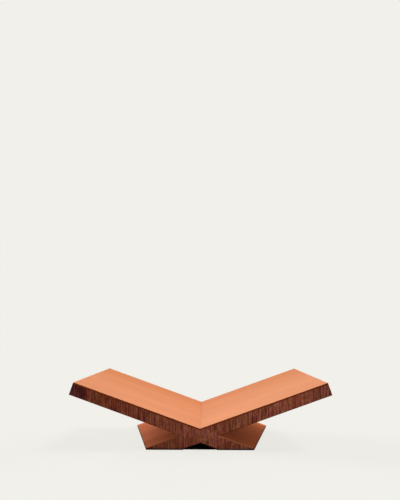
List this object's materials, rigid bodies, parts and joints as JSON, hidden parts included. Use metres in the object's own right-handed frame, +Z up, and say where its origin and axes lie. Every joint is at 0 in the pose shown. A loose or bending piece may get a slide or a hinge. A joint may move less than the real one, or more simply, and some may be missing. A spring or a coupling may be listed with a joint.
{
  "type": "book stand",
  "caption": "Fixed X-shaped table stand of two crossed wooden boards that holds a large open book in a shallow tilted valley.",
  "frame": {"origin": "centre of the bounding box in plan, on the table under the soles", "axes": "+Z up; +X to the reader's right across the open book; +Y from the reader's side to the back, the way the reading valley rises"},
  "size_m": [0.4678, 0.2904, 0.1423],
  "materials": {
    "face_veneer": "satin salmon-coloured fine veneer",
    "edge_veneer": "dark rosewood-like veneer with upright grain, satin",
    "end_veneer": "dark rosewood-like veneer, satin",
    "core_ply": "bare plywood, hidden",
    "sole_felt": "thin dark pressed felt"
  },
  "bodies": {
    "root": {"left_arm_top_facing": "face_veneer", "left_leg_top_facing": "face_veneer", "left_arm_under_facing": "edge_veneer", "left_arch_facing": "edge_veneer", "left_leg_front_lipping": "edge_veneer", "left_leg_back_lipping": "edge_veneer", "left_arm_front_leaf_inner": "edge_veneer", "left_arm_front_leaf_middle": "edge_veneer", "left_arm_front_leaf_outer": "edge_veneer", "left_arm_back_leaf_inner": "edge_veneer", "left_arm_back_leaf_middle": "edge_veneer", "left_arm_back_leaf_outer": "edge_veneer", "left_arm_end_lipping": "end_veneer", "left_board": "core_ply", "left_sole": "sole_felt", "right_arm_top_facing": "face_veneer", "right_leg_top_facing": "face_veneer", "right_arm_under_facing": "edge_veneer", "right_arch_facing": "edge_veneer", "right_leg_front_lipping": "edge_veneer", "right_leg_back_lipping": "edge_veneer", "right_arm_front_leaf_inner": "edge_veneer", "right_arm_front_leaf_middle": "edge_veneer", "right_arm_front_leaf_outer": "edge_veneer", "right_arm_back_leaf_inner": "edge_veneer", "right_arm_back_leaf_middle": "edge_veneer", "right_arm_back_leaf_outer": "edge_veneer", "right_arm_end_lipping": "end_veneer", "right_board": "core_ply", "right_sole": "sole_felt", "centre_front_lipping": "edge_veneer", "centre_back_lipping": "edge_veneer"}
  },
  "joints": []
}
